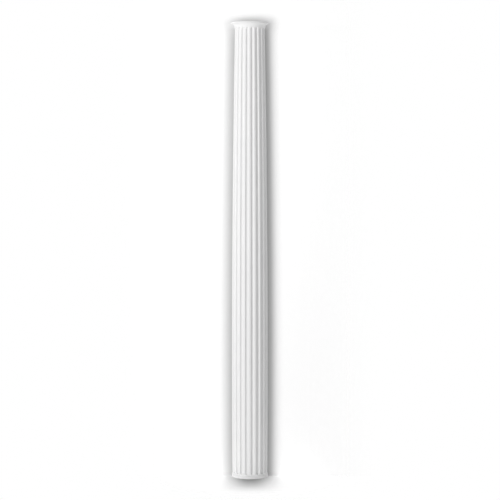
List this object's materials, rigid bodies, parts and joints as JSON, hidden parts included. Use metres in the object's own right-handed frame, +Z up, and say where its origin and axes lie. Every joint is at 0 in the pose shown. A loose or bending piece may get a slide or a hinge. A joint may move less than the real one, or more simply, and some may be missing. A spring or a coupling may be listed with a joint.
{
  "type": "half column shaft",
  "caption": "Fluted shaft of an engaged half column with a flared rim, a foot band and a flat back that is fixed to a wall.",
  "frame": {"origin": "centre of the bounding box at the underside: on the column's centre line, half its depth in front of the wall", "axes": "+Z up along the shaft, +Y into the wall behind the flat back, the fluted front bulges towards -Y, +X to the viewer's right"},
  "size_m": [0.1646, 0.0822, 2],
  "materials": {
    "white_primer": "factory white primer, matte, over dense rigid moulded foam"
  },
  "bodies": {
    "root": {"half_column_shaft": "white_primer"}
  },
  "joints": []
}
